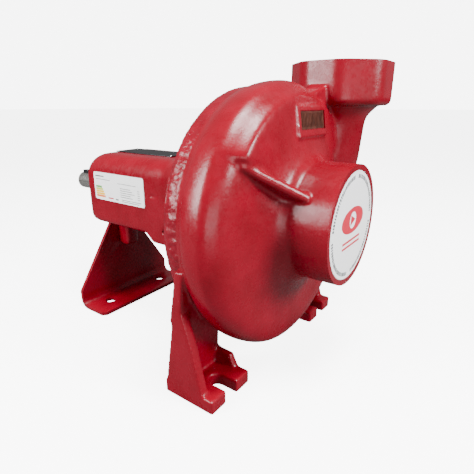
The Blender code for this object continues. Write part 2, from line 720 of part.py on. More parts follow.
def build():
    clear_scene()
    axis = empty("pump_axis")
    axis.location = (0, -REAR_BOLT_LINE * MM, SHAFT_HEIGHT * MM)
    rotor = empty("rotor_axis", axis)
    front_cage = empty("front_cage_axis", axis)
    rear_cage = empty("rear_cage_axis", axis)
    cap = empty("cap_axis", axis)

    volute_casing(axis)
    drain_plug(axis)
    casing_cover(axis)
    bearing_frame(axis)
    rear_bearing_cover(axis)
    rear_foot(axis)
    fasteners(axis)
    shaft(rotor)
    impeller(rotor)
    impeller_fasteners(rotor)
    mechanical_seal(axis, rotor)
    ball_bearing("front_bearing", FRONT_BEARING_Y, axis, rotor, front_cage)
    ball_bearing("rear_bearing", REAR_BEARING_Y, axis, rotor, rear_cage)
    seals_and_rings(axis, rotor)
    labels(axis)
    transport_cap(cap)


build()
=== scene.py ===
"""The finished pump: cast and enamelled housings, machined shaft, printed labels and fasteners.

Shapes are made in millimetres in the pump's own axes: X to the right seen from the suction side,
Y backwards from the suction face along the shaft, Z up from the shaft's centre line. finish_piece
puts them in the frame, in metres.
"""

import json
import math

import bmesh
import bpy
from mathutils import Matrix, Vector, noise


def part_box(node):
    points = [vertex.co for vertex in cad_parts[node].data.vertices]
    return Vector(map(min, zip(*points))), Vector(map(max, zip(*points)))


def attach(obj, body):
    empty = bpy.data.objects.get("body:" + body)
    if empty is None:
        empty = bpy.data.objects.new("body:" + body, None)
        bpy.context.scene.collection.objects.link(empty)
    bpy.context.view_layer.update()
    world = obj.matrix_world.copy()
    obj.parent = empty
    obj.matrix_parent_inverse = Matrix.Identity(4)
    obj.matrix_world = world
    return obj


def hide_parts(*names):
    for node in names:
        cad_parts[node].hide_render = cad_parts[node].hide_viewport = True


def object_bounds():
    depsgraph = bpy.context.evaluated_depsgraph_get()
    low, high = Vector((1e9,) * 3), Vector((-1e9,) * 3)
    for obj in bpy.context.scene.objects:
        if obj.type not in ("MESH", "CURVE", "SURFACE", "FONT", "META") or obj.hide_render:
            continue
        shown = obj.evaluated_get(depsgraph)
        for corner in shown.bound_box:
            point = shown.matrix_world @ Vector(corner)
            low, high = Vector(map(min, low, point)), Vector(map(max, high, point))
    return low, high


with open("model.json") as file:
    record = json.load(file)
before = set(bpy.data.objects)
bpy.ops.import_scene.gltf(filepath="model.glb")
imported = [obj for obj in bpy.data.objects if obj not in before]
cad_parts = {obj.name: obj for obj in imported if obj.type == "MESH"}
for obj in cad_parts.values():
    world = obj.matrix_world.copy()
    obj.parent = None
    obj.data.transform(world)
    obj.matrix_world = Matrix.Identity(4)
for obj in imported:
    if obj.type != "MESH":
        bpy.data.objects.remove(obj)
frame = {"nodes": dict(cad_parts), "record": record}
cad_low, cad_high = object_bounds()

# ---------------------------------------------------------------- sizes, in millimetres

MM = 0.001
CASING_LOW, CASING_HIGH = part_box("volute_casing")
SHAFT_LOW, SHAFT_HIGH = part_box("shaft")
ORIGIN = Vector(((SHAFT_LOW.x + SHAFT_HIGH.x) / 2, CASING_LOW.y, (SHAFT_LOW.z + SHAFT_HIGH.z) / 2))
PLACE = Matrix.Translation(ORIGIN) @ Matrix.Scale(MM, 4)
FLOOR = (cad_low.z - ORIGIN.z) / MM

NOZZLE_R = 57.5
PORT_R = 43.5
CAP_SEAT_R = 52.4
CAP_SEAT_DEPTH = 1.5
EYE_R = 40.5
JOINT_Y = (CASING_HIGH.y - CASING_LOW.y) / MM - 21.3
FLANGE_R = 125.5
RIM_R = 128.5
RIM_GROWTH = 12.5
CUTWATER = 50.0
LAND_START = 38.0
LAND_END = 146.5
REGISTER_R = 99.8
COVER_SEAT_R = 104.3
COVER_SEAT_Y = 97.7
CHANNEL_R = 108.0
CHANNEL_GROWTH = 22.0
DRAIN_ANGLE = 295.0
DRAIN_Y = 79.0

BOSS_X = 101.3
BOSS_Y = 63.8
BOSS_R = 57.2
BOSS_TOP = (CASING_HIGH.z - ORIGIN.z) / MM
BOSS_BOTTOM = 107.0
DISCHARGE_R = 36.5

FOOT_INNER = 70.0
FOOT_OUTER = 129.4
FOOT_FRONT = 67.8
FOOT_REAR = (CASING_HIGH.y - CASING_LOW.y) / MM
PAD_THICKNESS = 13.2
SLOT_X = 99.85
SLOT_R = 8.15
SLOT_END = 94.0

FRAME_FLANGE_Y = 123.0
BOX_HALF_WIDTH = 50.0
BOX_TOP = 50.0
BOX_BOTTOM = -40.0
BOX_CORNER = 21.0
BOX_LOW_CORNER = 7.0
BOX_START = 190.0
BOX_REAR = 343.0
BEARING_SEAT_R = 31.0
FLANGE_BOLT_CIRCLE = 112.0
FLANGE_BOLTS = 8
COVER_SCREW_CIRCLE = 36.0
COVER_SCREWS = 4
COVER_FACE_Y = 348.3
FOOT_BOLT_LEVELS = (-53.0, -73.0)

PLATE = 4.7
FOOT_PLATE_Y = 340.3
FOOT_TOE_Y = 296.0
FOOT_HALF_WIDTH = 77.5
FOOT_HOLE_X = 47.0
FOOT_HOLE_R = 7.0
FOOT_HOLE_Y = 322.0

ROUGH_RIM_START = 118.0
ROUGH_RIM_FADE = 25.0

NAMEPLATE_HALF_WIDTH = 19.0
NAMEPLATE_FRONT = 215.0
NAMEPLATE_REAR = 316.0
RIVET_INSET = 3.0

SURROUND_GLOW = 0.3
BACKDROP_GLOW = 7.0
FLOOR_GLOW = 5.5
FLOOR_CLEARANCE = 0.0003

GAP = 0.3
DRIVE_END = (SHAFT_HIGH.y - CASING_LOW.y) / MM
CAST_VOXEL = 1.45
CAST_TRIANGLES = 165000
FINE_STEPS = 96


# ---------------------------------------------------------------- materials


def new_material(name):
    made = bpy.data.materials.new(name)
    made.use_nodes = True
    tree = made.node_tree
    return made, tree, tree.nodes["Principled BSDF"]


def node(tree, kind, **settings):
    made = tree.nodes.new(kind)
    for key, value in settings.items():
        setattr(made, key, value)
    return made


def object_position(tree):
    return node(tree, "ShaderNodeTexCoord").outputs["Object"]


def grain(tree, size, detail=3.0, roughness=0.55, stretch=(1.0, 1.0, 1.0)):
    """Noise whose cells are about size millimetres across, as a 0 to 1 factor."""
    mapping = node(tree, "ShaderNodeMapping")
    mapping.inputs["Scale"].default_value = [1000.0 / size * s for s in stretch]
    tree.links.new(object_position(tree), mapping.inputs["Vector"])
    made = node(tree, "ShaderNodeTexNoise")
    made.inputs["Scale"].default_value = 1.0
    made.inputs["Detail"].default_value = detail
    made.inputs["Roughness"].default_value = roughness
    tree.links.new(mapping.outputs["Vector"], made.inputs["Vector"])
    return made.outputs["Fac"]


def ramp(tree, factor, stops):
    """A colour ramp from (position, colour) stops."""
    made = node(tree, "ShaderNodeValToRGB")
    elements = made.color_ramp.elements
    while len(elements) < len(stops):
        elements.new(0.5)
    for element, (position, colour) in zip(elements, stops):
        element.position = position
        element.color = (*colour, 1.0)
    tree.links.new(factor, made.inputs["Fac"])
    return made.outputs["Color"]


def spread(tree, factor, low, high, start=0.3, end=0.7):
    """Maps a factor between start and end to a number from low to high."""
    made = node(tree, "ShaderNodeMapRange")
    made.inputs["From Min"].default_value = start
    made.inputs["From Max"].default_value = end
    made.inputs["To Min"].default_value = low
    made.inputs["To Max"].default_value = high
    tree.links.new(factor, made.inputs["Value"])
    return made.outputs["Result"]


def bump(tree, shader, layers):
    """Stacks (height factor, depth in millimetres, strength) layers of relief."""
    below = None
    for height, depth, strength in layers:
        made = node(tree, "ShaderNodeBump")
        made.inputs["Strength"].default_value = strength
        made.inputs["Distance"].default_value = depth * MM
        tree.links.new(height, made.inputs["Height"])
        if below:
            tree.links.new(below, made.inputs["Normal"])
        below = made.outputs["Normal"]
    tree.links.new(below, shader.inputs["Normal"])


def enamel(name, dark, light, roughness, relief, pits=0.0):
    """Sprayed enamel over cast iron: orange peel, the sand's grain, and slight changes of shade."""
    made, tree, shader = new_material(name)
    shade = ramp(tree, grain(tree, 30.0, 3.0), [(0.3, dark), (0.7, light)])
    tree.links.new(shade, shader.inputs["Base Color"])
    tree.links.new(spread(tree, grain(tree, 7.0), roughness - 0.05, roughness + 0.08),
                   shader.inputs["Roughness"])
    shader.inputs["Coat Weight"].default_value = 0.08
    shader.inputs["Coat Roughness"].default_value = 0.14
    shader.inputs["Specular IOR Level"].default_value = 0.26
    layers = [(grain(tree, 24.0, 2.0), 0.55 * relief, 0.5),
              (grain(tree, 3.6, 3.0), 0.28 * relief, 0.6),
              (grain(tree, 1.1, 2.0, 0.6), 0.13 * relief, 0.8)]
    if pits:
        layers.append((grain(tree, 6.5, 4.0, 0.7), pits, 0.7))
    bump(tree, shader, layers)
    return made


def machined(name, colour, roughness, line=0.35, stretch=(1.0, 14.0, 1.0)):
    """Turned or ground metal with fine tool lines; stretch is largest across the lines."""
    made, tree, shader = new_material(name)
    lines = grain(tree, 6.0, 4.0, 0.7, stretch)
    dark = tuple(c * 0.8 for c in colour)
    tree.links.new(ramp(tree, lines, [(0.25, dark), (0.75, colour)]), shader.inputs["Base Color"])
    shader.inputs["Metallic"].default_value = 1.0
    tree.links.new(spread(tree, lines, roughness - 0.08, roughness + 0.1), shader.inputs["Roughness"])
    bump(tree, shader, [(lines, 0.02, line)])
    return made


def moulded(name, colour, roughness, speck=0.85, relief=0.05):
    """Plain moulded or printed stuff with a fine mottle."""
    made, tree, shader = new_material(name)
    fine = grain(tree, 1.5, 3.0)
    dark = tuple(c * speck for c in colour)
    tree.links.new(ramp(tree, fine, [(0.3, dark), (0.7, colour)]), shader.inputs["Base Color"])
    tree.links.new(spread(tree, grain(tree, 12.0), roughness - 0.05, roughness + 0.05),
                   shader.inputs["Roughness"])
    bump(tree, shader, [(fine, relief, 0.4)])
    return made


RED = enamel("red_enamel", (0.15, 0.0003, 0.006), (0.2, 0.0006, 0.01), 0.27, 0.9)
ROUGH_RED = enamel("red_enamel_rough_cast", (0.12, 0.0004, 0.005), (0.21, 0.001, 0.012), 0.3, 1.6, 1.1)
SMOOTH_RED = enamel("red_enamel_smooth", (0.15, 0.0003, 0.006), (0.2, 0.0006, 0.01), 0.26, 0.4)
PRIMED = enamel("primed_iron", (0.07, 0.006, 0.008), (0.12, 0.01, 0.012), 0.5, 1.5)
BARE_IRON = machined("bored_iron", (0.32, 0.30, 0.29), 0.4)
TURNED_STEEL = machined("turned_steel", (0.72, 0.70, 0.66), 0.26)
GROUND_STEEL = machined("ground_steel", (0.78, 0.77, 0.75), 0.2, 0.2)
DARK_STEEL = machined("blackened_steel", (0.055, 0.055, 0.06), 0.42, 0.3, (1.0, 1.0, 1.0))
BRONZE = machined("cast_bronze", (0.62, 0.38, 0.16), 0.34, 0.4, (1.5, 1.5, 1.5))
RUBBER = moulded("nitrile_rubber", (0.022, 0.022, 0.023), 0.6)
CARBON = moulded("lapped_carbon", (0.05, 0.05, 0.055), 0.34, 0.8, 0.02)
CERAMIC = moulded("lapped_ceramic", (0.86, 0.84, 0.78), 0.22, 0.95, 0.01)
FIBRE = moulded("gasket_fibre", (0.18, 0.19, 0.165), 0.85, 0.6, 0.15)
WHITE = moulded("white_plastic", (0.92, 0.92, 0.93), 0.34, 0.985, 0.01)
PAPER = moulded("label_film", (0.93, 0.93, 0.93), 0.3, 0.985, 0.01)
BLACK_INK = moulded("grey_ink", (0.06, 0.065, 0.07), 0.5)
RED_INK = moulded("red_ink", (0.55, 0.01, 0.035), 0.45)
GREEN_INK = moulded("green_ink", (0.10, 0.34, 0.06), 0.45)
LIME_INK = moulded("lime_ink", (0.48, 0.55, 0.03), 0.45)
AMBER_INK = moulded("amber_ink", (0.85, 0.50, 0.01), 0.45)
ORANGE_INK = moulded("orange_ink", (0.80, 0.16, 0.02), 0.45)
BADGE_METAL = machined("badge_metal", (0.20, 0.075, 0.055), 0.42, 0.5, (1.0, 1.0, 1.0))

CARRIED_OVER = {"steel": GROUND_STEEL, "bronze": BRONZE, "rubber": RUBBER, "carbon": CARBON,
                "ceramic": CERAMIC, "gasket_fibre": FIBRE, "black_steel": DARK_STEEL,
                "dark_paint": PRIMED, "red_paint": SMOOTH_RED, "white_plastic": WHITE}


# ---------------------------------------------------------------- shaping


def turned(profile, steps=FINE_STEPS, on_axis=False):
    """A profile of (radius, y) points spun round the shaft's axis."""
    bm = bmesh.new()
    verts = [bm.verts.new((r, y, 0.0)) for r, y in profile]
    edges = [bm.edges.new(pair) for pair in zip(verts, verts[1:])]
    if not on_axis:
        edges.append(bm.edges.new((verts[-1], verts[0])))
    bmesh.ops.spin(bm, geom=verts + edges, cent=(0, 0, 0), axis=(0, 1, 0), angle=math.tau,
                   steps=steps, use_merge=True)
    bmesh.ops.remove_doubles(bm, verts=bm.verts, dist=0.001)
    bmesh.ops.recalc_face_normals(bm, faces=bm.faces)
    return bm


def lofted(sections, ring=False):
    """Skins closed outlines of equal length: a ring of them, or a run with both ends capped."""
    bm = bmesh.new()
    loops = []
    for section in sections:
        verts = [bm.verts.new(point) for point in section]
        loops.append([bm.edges.new(pair) for pair in zip(verts, verts[1:] + verts[:1])])
    if ring:
        loops.append(loops[0])
    for one, two in zip(loops, loops[1:]):
        bmesh.ops.bridge_loops(bm, edges=one + two)
    if not ring:
        for loop in (loops[0], loops[-1]):
            bmesh.ops.contextual_create(bm, geom=loop)
    bmesh.ops.recalc_face_normals(bm, faces=bm.faces)
    return bm


def extruded(outline, offset):
    """A flat outline of points pushed along offset."""
    bm = bmesh.new()
    face = bm.faces.new([bm.verts.new(point) for point in outline])
    pushed = bmesh.ops.extrude_face_region(bm, geom=[face])["geom"]
    moved = [item for item in pushed if isinstance(item, bmesh.types.BMVert)]
    bmesh.ops.translate(bm, verts=moved, vec=offset)
    bmesh.ops.recalc_face_normals(bm, faces=bm.faces)
    return bm


def side_plate(outline, x_low, x_high):
    return extruded([(x_low, y, z) for y, z in outline], (x_high - x_low, 0, 0))


def front_plate(outline, y_low, y_high):
    return extruded([(x, y_low, z) for x, z in outline], (0, y_high - y_low, 0))


def floor_plate(outline, z_low, z_high):
    return extruded([(x, y, z_low) for x, y in outline], (0, 0, z_high - z_low))


def block(x_low, x_high, y_low, y_high, z_low, z_high):
    outline = [(x_low, z_low), (x_high, z_low), (x_high, z_high), (x_low, z_high)]
    return front_plate(outline, y_low, y_high)


def arc(cx, cy, radius, start, end, steps=8):
    """Points along an arc, from start to end in degrees."""
    angles = [math.radians(start + (end - start) * k / steps) for k in range(steps + 1)]
    return [(cx + radius * math.cos(a), cy + radius * math.sin(a)) for a in angles]


def polygon(radius, sides, start=0.0):
    return arc(0, 0, radius, start, start + 360.0, sides)[:-1]


def round_bar(radius, y_low, y_high, x=0.0, z=0.0, sides=48):
    return front_plate([(x + px, z + pz) for px, pz in polygon(radius, sides)], y_low, y_high)


def rounded_box(half_width, top, bottom, corner, steps=8, low_corner=None):
    """(x, z) points of a box outline with round corners, from +X, +Z anticlockwise."""
    foot = corner if low_corner is None else low_corner
    right, high = half_width - corner, top - corner
    low_right, low = half_width - foot, bottom + foot
    return (arc(right, high, corner, 0, 90, steps) + arc(-right, high, corner, 90, 180, steps)
            + arc(-low_right, low, foot, 180, 270, steps)
            + arc(low_right, low, foot, 270, 360, steps))


def across(side, inner, outer):
    return (inner, outer) if side > 0 else (-outer, -inner)


def rounded(bm, radius, angle=30.0, segments=4, where=None):
    """Rounds the edges that turn by more than angle degrees, or those of them that where picks."""
    limit = math.radians(angle)
    edges = [e for e in bm.edges if len(e.link_faces) == 2 and e.calc_face_angle(0.0) > limit
             and (where is None or where(e))]
    bmesh.ops.bevel(bm, geom=edges, offset=radius, offset_type="OFFSET", affect="EDGES",
                    segments=segments, profile=0.5, material=-1, clamp_overlap=True)
    return bm


def turned_about_axis(bm, degrees):
    """Turns a mesh about the shaft's axis, from +X towards +Z."""
    bmesh.ops.rotate(bm, verts=bm.verts, matrix=Matrix.Rotation(-math.radians(degrees), 3, "Y"))
    return bm


def together(*shapes):
    """One bmesh that holds all of these."""
    bm = bmesh.new()
    for shape in shapes:
        scratch = bpy.data.meshes.new("scratch")
        shape.to_mesh(scratch)
        shape.free()
        bm.from_mesh(scratch)
        bpy.data.meshes.remove(scratch)
    return bm


def as_object(bm):
    mesh = bpy.data.meshes.new("work")
    bm.to_mesh(mesh)
    bm.free()
    obj = bpy.data.objects.new("work", mesh)
    bpy.context.scene.collection.objects.link(obj)
    return obj


def applied(obj, *helpers):
    """The object's mesh with its modifiers applied, as a bmesh; the object and helpers go."""
    graph = bpy.context.evaluated_depsgraph_get()
    made = bmesh.new()
    made.from_mesh(obj.evaluated_get(graph).to_mesh())
    for used in (obj, *helpers):
        bpy.data.objects.remove(used)
    return made


def combined(bm, operation, *others, solver="MANIFOLD"):
    """Joins the other shapes to bm, or cuts them from it."""
    obj = as_object(bm)
    helpers = [as_object(other) for other in others]
    for helper in helpers:
        modifier = obj.modifiers.new(operation, "BOOLEAN")
        modifier.operation = operation
        modifier.object = helper
        modifier.solver = solver
    return applied(obj, *helpers)


def cast(bm, voxel, smoothing):
    """Melts closed shapes into one skin with rounded corners, no denser than a piece may be."""
    obj = as_object(bm)
    melt = obj.modifiers.new("melt", "REMESH")
    melt.mode = "VOXEL"
    melt.voxel_size = voxel
    soften = obj.modifiers.new("soften", "SMOOTH")
    soften.factor = 0.5
    soften.iterations = smoothing
    skin = applied(obj)
    triangles = sum(len(face.verts) - 2 for face in skin.faces)
    if triangles > CAST_TRIANGLES:
        obj = as_object(skin)
        thin = obj.modifiers.new("thin", "DECIMATE")
        thin.ratio = CAST_TRIANGLES / triangles
        skin = applied(obj)
    return skin


def finish_piece(name, bm, materials, body, replaces=(), sharp=35.0, pick=None):
    """Places a finished shape in the frame. pick(face) gives a face's material index."""
    if pick:
        for face in bm.faces:
            face.material_index = pick(face)
    bmesh.ops.transform(bm, matrix=PLACE, verts=bm.verts)
    mesh = bpy.data.meshes.new(name)
    bm.to_mesh(mesh)
    bm.free()
    for material in materials:
        mesh.materials.append(material)
    mesh.shade_smooth()
    mesh.set_sharp_from_angle(angle=math.radians(sharp))
    piece = bpy.data.objects.new(name, mesh)
    bpy.context.scene.collection.objects.link(piece)
    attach(piece, body)
    if replaces:
        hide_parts(*replaces)
    return piece


# ---------------------------------------------------------------- volute casing


def growth(degrees):
    """0 at the cutwater, rising to 1 at the throat, then back to 0 under the discharge."""
    turn = degrees % 360.0
    if turn >= CUTWATER:
        return (turn - CUTWATER) / (360.0 - CUTWATER)
    return 0.5 + 0.5 * math.cos(math.pi * turn / CUTWATER)


def ease(value):
    value = max(0.0, min(1.0, value))
    return value * value * (3.0 - 2.0 * value)


def land(degrees):
    """1 on the raised land between the discharge and the front rib, 0 off it."""
    return ease((degrees - LAND_START) / 6.0) * ease((LAND_END + 1.0 - degrees) / 3.0)


def belly(degrees):
    """1 along the underside, where the front corner is fullest, 0 above."""
    return ease((degrees - 205.0) / 50.0) * ease((352.0 - degrees) / 30.0)


def corner_cut(points, rounds=2):
    """Smooths a run of points by cutting its corners, with both ends kept."""
    for _ in range(rounds):
        smooth = [points[0]]
        for (ax, ay), (bx, by) in zip(points, points[1:]):
            smooth += [(0.75 * ax + 0.25 * bx, 0.75 * ay + 0.25 * by),
                       (0.25 * ax + 0.75 * bx, 0.25 * ay + 0.75 * by)]
        points = smooth + [points[-1]]
    return points


def skin_section(degrees):
    """The casing's outer skin at one angle, as (radius, y) points from the joint forwards."""
    rim = RIM_R + RIM_GROWTH * growth(degrees)
    low = [(rim - 0.3, 82), (rim - 0.3, 76), (rim - 4, 69.5), (rim - 11.5, 63.5), (rim - 22, 60.3),
           (100, 58.2), (84, 54.5), (70, 49.5), (62, 44.5), (58, 38)]
    high = [(rim - 0.3, 82), (rim - 0.3, 75), (rim - 3.2, 69), (rim - 8.5, 62.5), (rim - 13, 54.6),
            (rim - 20, 53.6), (84, 50.5), (71, 47.5), (62.5, 44), (58, 38)]
    full = belly(degrees)
    shift = [(0, 0), (0, -1), (2.5, -3.5), (4.5, -5), (3, -4.8), (0, -2)]
    low = [(r + full * dr, y + full * dy) for (r, y), (dr, dy) in zip(low, shift)] + low[6:]
    share = land(degrees)
    front = [(lr + (hr - lr) * share, ly + (hy - ly) * share)
             for (lr, ly), (hr, hy) in zip(low, high)]
    rear = [(30, JOINT_Y + 3), (126, JOINT_Y + 3), (126, JOINT_Y - 1)]
    edge = [(126.6, JOINT_Y - 3), (rim - 1.2, 94), (rim - 0.2, 84)]
    return rear + corner_cut(edge + front) + [(30, 38)]


def wet_section(degrees):
    """The hollow at one angle: port, wear ring seat, impeller chamber, channel and cover seat."""
    inner = 90.0
    depth = CHANNEL_R + CHANNEL_GROWTH * growth(degrees) - inner
    port = [(25, -3), (CAP_SEAT_R, -3), (CAP_SEAT_R, CAP_SEAT_DEPTH), (PORT_R, CAP_SEAT_DEPTH),
            (PORT_R, 34), (EYE_R, 38), (EYE_R, 50), (50, 50), (50, 62)]
    channel = [(0.75, 68), (0.93, 72), (1, 78.5), (0.93, 85.5), (0.75, 89.5)]
    rear = [(REGISTER_R, 89.8), (REGISTER_R, COVER_SEAT_Y), (COVER_SEAT_R, COVER_SEAT_Y),
            (COVER_SEAT_R, JOINT_Y + 9), (25, JOINT_Y + 9)]
    return port + corner_cut([(inner + depth * share, y) for share, y in channel]) + rear


def swept_ring(section, steps):
    """Sweeps a section that depends on the angle once round the axis."""
    sections = []
    for k in range(steps):
        degrees = 360.0 * k / steps
        turn = math.radians(degrees)
        sections.append([(r * math.cos(turn), y, r * math.sin(turn)) for r, y in section(degrees)])
    return lofted(sections, ring=True)


def neck(levels, between=4, sides=48):
    """A pipe through (x, y, z, half_x, half_y) ellipses, with smooth steps between them."""
    dense = []
    for k in range(len(levels) - 1):
        before, after = levels[max(k - 1, 0)], levels[min(k + 2, len(levels) - 1)]
        for step in range(between):
            t = step / between
            dense.append([0.5 * (2 * b + (c - a) * t + (2 * a - 5 * b + 4 * c - d) * t * t
                                 + (3 * b - a - 3 * c + d) * t * t * t)
                          for a, b, c, d in zip(before, levels[k], levels[k + 1], after)])
    dense.append(levels[-1])
    return lofted([[(x + half_x * px, y + half_y * py, z) for px, py in polygon(1.0, sides)]
                   for x, y, z, half_x, half_y in dense])


def discharge_boss():
    """The octagonal boss, with round corners and a rounded lower rim."""
    outline = [(BOSS_X + x, BOSS_Y + y) for x, y in polygon(BOSS_R, 8, 22.5)]
    boss = floor_plate(outline, BOSS_BOTTOM, BOSS_TOP + 4)
    rounded(boss, 9.0, segments=5, where=lambda e: abs(e.verts[0].co.z - e.verts[1].co.z) > 9)
    rounded(boss, 6.5, segments=5, where=lambda e: max(v.co.z for v in e.verts) < BOSS_BOTTOM + 1)
    return boss


def front_rib():
    """The rounded rib from the land's corner down to the nozzle."""
    outline = [(54, 20.5), (60, 23), (79, 35.8), (104, 52), (113, 55.8), (118, 60), (114, 66), (54, 66)]
    rib = extruded([(r, y, -4.6) for r, y in outline], (0, 0, 9.2))
    rounded(rib, 3.8, segments=4, where=lambda e: max(v.co.y for v in e.verts) < 67)
    return turned_about_axis(rib, LAND_END)


def badge_frame():
    """A raised rectangle on the land, leaning back with the casing's face."""
    return side_plate([(47.7, 79.5), (52.0, 107.5), (62, 107.5), (62, 79.5)], -22, 38)


def foot_pad(side):
    """The foot's base with its open slot, edges rounded as cast."""
    low, high = across(side, FOOT_INNER, FOOT_OUTER)
    centre = side * SLOT_X
    slot = arc(centre, SLOT_END - SLOT_R, SLOT_R, 180, 0, 16)
    outline = [(low, FOOT_FRONT), (centre - SLOT_R, FOOT_FRONT), *slot,
               (centre + SLOT_R, FOOT_FRONT), (high, FOOT_FRONT), (high, FOOT_REAR),
               (low, FOOT_REAR)]
    return floor_plate(outline, FLOOR - 3, FLOOR + PAD_THICKNESS)


def foot(side):
    """One cast foot: pad, outer web, rear web and the low rib beside the slot."""
    pad_top = FLOOR + PAD_THICKNESS
    rear_edge = [(FOOT_REAR, FLOOR + 2), (114.7, -84.4), (116.4, -79), (109.8, -44)]
    outer_web = rear_edge + [(108, -28), (98, -28), (99.8, -45), (101.8, -68), (89.7, -105),
                             (80, FLOOR + 14.5), (80, FLOOR + 2)]
    rear_web = rear_edge + [(108, -28), (98, -28), (101, -60), (105.5, -132), (105.5, FLOOR + 2)]
    low_rib = [(110, FLOOR + 2), (110, -132), (86.9, -133.4), (80, pad_top - 1), (80, FLOOR + 2)]
    return together(
        foot_pad(side),
        side_plate(rear_web, *across(side, FOOT_INNER + 1.5, FOOT_OUTER - 1)),
        side_plate(outer_web, *across(side, FOOT_OUTER - 10, FOOT_OUTER - 0.01)),
        side_plate(low_rib, *across(side, FOOT_INNER + 0.01, FOOT_INNER + 8)))


def drain_bar(radius, low, high, sides=48):
    bar = extruded([(low, DRAIN_Y + py, pz) for py, pz in polygon(radius, sides)],
                   (high - low, 0, 0))
    return turned_about_axis(bar, DRAIN_ANGLE)


def volute_casing():
    nozzle = turned([(0, -3), (NOZZLE_R, -3), (NOZZLE_R, 60), (0, 60)], on_axis=True)
    outside = [(104, 79, -10, 34, 26), (104, 74, 40, 40, 33), (103, 71, 72, 38, 34),
               (102, 69, 93, 38, 35), (BOSS_X, 66, 104, 43, 41), (BOSS_X, BOSS_Y, 112, 49, 48)]
    inside = [(112, 78.8, -5, 15, 10.3), (108, 76.5, 40, 20, 13), (103.5, 72, 78, 27, 22),
              (BOSS_X, 67, 100, 32, 30), (BOSS_X, BOSS_Y, 112, DISCHARGE_R, DISCHARGE_R),
              (BOSS_X, BOSS_Y, BOSS_TOP + 9, DISCHARGE_R, DISCHARGE_R)]
    web = front_plate([(14, 118), (52, 127), (60, 100), (20, 100)], 57, 76)
    solid = together(swept_ring(skin_section, 144), nozzle, neck(outside), discharge_boss(), web,
                     front_rib(), badge_frame(), foot(-1), foot(1))
    casting = cast(solid, CAST_VOXEL, 9)
    holes = [round_bar(4.3, 93, JOINT_Y + 9, x, z)
             for x, z in polygon(FLANGE_BOLT_CIRCLE, FLANGE_BOLTS, 22.5)]
    casting = combined(
        casting, "DIFFERENCE",
        block(-200, 200, -20, 0, -100, 100),
        turned([(0, JOINT_Y), (127, JOINT_Y), (127, 140), (0, 140)], on_axis=True),
        block(40, 165, 0, 140, BOSS_TOP, BOSS_TOP + 20),
        block(-160, 160, 40, 150, FLOOR - 20, FLOOR),
        side_plate([(35, 85.5), (35, 103), (52.8, 103), (50.2, 85.5)], -17.5, 33.5),
        round_bar(32, -4, JOINT_Y + 9, sides=FINE_STEPS),
        swept_ring(wet_section, FINE_STEPS),
        neck(inside),
        drain_bar(7.3, 112, 150), *holes)

    def finish_of(face):
        centre = face.calc_center_median()
        radius = max(math.hypot(v.co.x, v.co.z) for v in face.verts)
        bored = radius < PORT_R + 0.2 and centre.y < 37
        joint = centre.y > JOINT_Y - 0.2 and face.normal.y > 0.9 and radius < RIM_R - 0.5
        mouth = centre.z > BOSS_TOP - 30 and max(
            math.hypot(v.co.x - BOSS_X, v.co.y - BOSS_Y) for v in face.verts) < DISCHARGE_R + 0.2
        return 1 if bored or joint or mouth else 0

    finish_piece("casing_casting", casting, (RED, BARE_IRON), "casing",
                 ("volute_casing",), pick=finish_of)


# ---------------------------------------------------------------- bearing frame


def box_outline(half_width, top, bottom):
    """(x, z) points of the bearing box: arcs at its corners, and points along its flats."""
    points = []
    outline = rounded_box(half_width, top, bottom, BOX_CORNER, low_corner=BOX_LOW_CORNER)
    for k, (x, z) in enumerate(outline):
        points.append((x, z))
        if k % 9 == 8:
            next_x, next_z = outline[(k + 1) % len(outline)]
            points += [(x + (next_x - x) * t / 6, z + (next_z - z) * t / 6) for t in range(1, 6)]
    return points


def frame_section(y):
    """The frame's outside at y: a circle at the flange that turns into the bearing box."""
    share = min(1.0, (y - 118.0) / (BOX_START + 7 - 118.0)) ** 0.8
    box = box_outline(BOX_HALF_WIDTH, BOX_TOP, BOX_BOTTOM)
    circle = arc(0, 0, 96.0 - 8.0 * share, 19.3, 379.3, len(box))[:-1]
    return [(cx + (x - cx) * share, y, cz + (z - cz) * share)
            for (x, z), (cx, cz) in zip(box, circle)]


def rear_section(y, side_inset, top_inset, low_inset):
    """The box's rear end, whose top falls away sooner than its sides."""
    outline = box_outline(BOX_HALF_WIDTH - side_inset, BOX_TOP - top_inset, BOX_BOTTOM + low_inset)
    return [(x, y, z) for x, z in outline]


def lantern_space():
    """The open space between the casing cover and the front bearing."""
    levels = [(104, 90, 90, -90, 90), (128, 78, 78, -78, 78), (152, 56, 53, -46, 40),
              (182, 42, 38, -33, 16), (222, 40, 36, -31, 14)]
    return lofted([[(x, y, z) for x, z in rounded_box(half_width, top, bottom, corner)]
                   for y, half_width, top, bottom, corner in levels])


def ruffled(bm):
    """Sand-cast roughness on the frame flange's rim."""
    for vert in bm.verts:
        radius = math.hypot(vert.co.x, vert.co.z)
        degrees = math.degrees(math.atan2(vert.co.z, vert.co.x)) % 360.0
        share = 0.25 + 0.75 * ease((degrees - ROUGH_RIM_START) / ROUGH_RIM_FADE)
        if radius > 117.5 and vert.co.y < 129:
            coarse = noise.noise(vert.co * 0.16)
            fine = noise.noise(Vector((vert.co.x * 0.45, vert.co.y * 0.18, vert.co.z * 0.45)))
            push = 1.0 + share * (0.8 * coarse + 0.75 * fine - 0.3) / radius
            vert.co.x *= push
            vert.co.z *= push
    return bm


